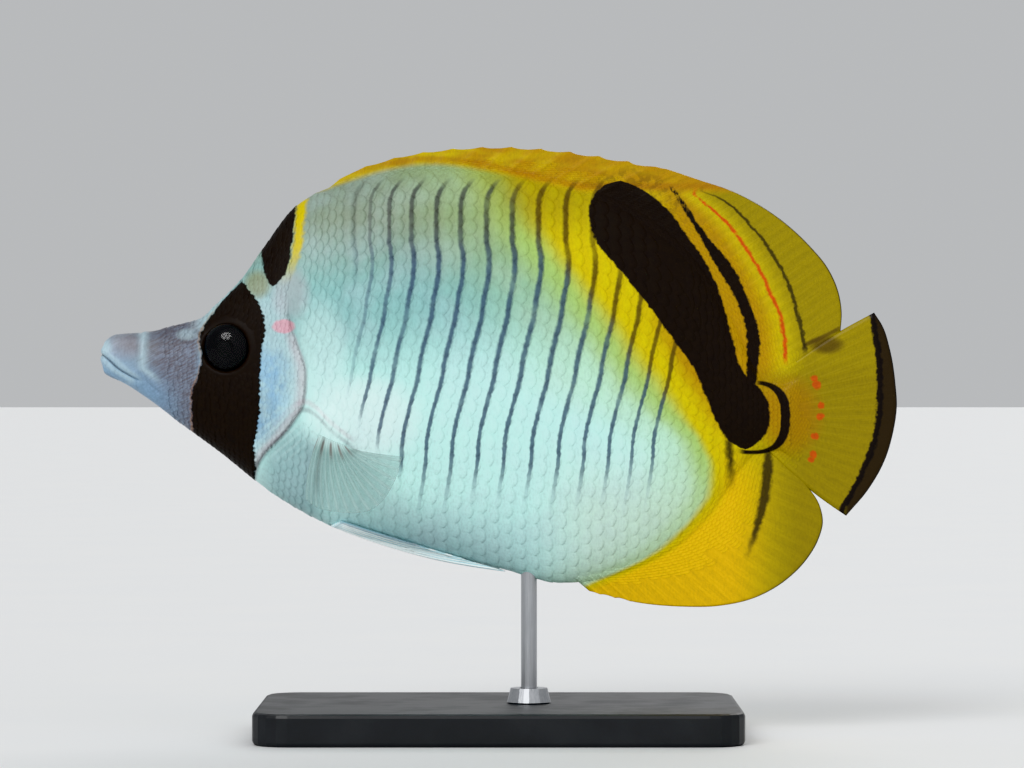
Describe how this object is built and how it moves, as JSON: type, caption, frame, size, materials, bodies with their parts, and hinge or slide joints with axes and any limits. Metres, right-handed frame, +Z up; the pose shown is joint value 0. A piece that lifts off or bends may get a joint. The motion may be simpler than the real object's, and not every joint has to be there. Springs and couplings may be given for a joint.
{
  "type": "spot-nape butterflyfish",
  "caption": "Life-size butterflyfish with a pointed snout, deep flat body, raised dorsal fin, open fan tail and spread breast fins, held on a rod over a flat base.",
  "frame": {"origin": "centre of the object's footprint box, on the underside of the stand's base", "axes": "+X towards the tail, -X towards the snout, +Y towards the fish's right side, +Z up"},
  "size_m": [0.199, 0.0932, 0.1471],
  "materials": {
    "head": "wet-looking pale blue-white skin with a black eye band",
    "torso": "wet-looking pale blue-white scales with thin dark lines, yellow towards the rear",
    "tail": "dark scales with a yellow edge",
    "eye": "clear cornea over a near-black iris",
    "fin_yellow": "golden membrane over fine rays",
    "fin_clear": "thin clear membrane over fine rays",
    "fin_white": "pale blue-white membrane over fine rays",
    "stand_plate": "satin black powder coat on steel plate",
    "stand_steel": "brushed stainless rod"
  },
  "bodies": {
    "root": {"head": "head", "torso": "torso", "tail": "tail", "eye_left": "eye", "eye_right": "eye", "dorsal_fin_spiny": "fin_yellow", "dorsal_fin_soft": "fin_yellow", "anal_fin": "fin_yellow", "caudal_fin": "fin_yellow", "pectoral_fin_left": "fin_clear", "pectoral_fin_right": "fin_clear", "pelvic_fin_left": "fin_white", "pelvic_fin_right": "fin_white", "stand_base": "stand_plate", "stand_rod": "stand_steel", "stand_collar": "stand_steel"}
  },
  "joints": []
}
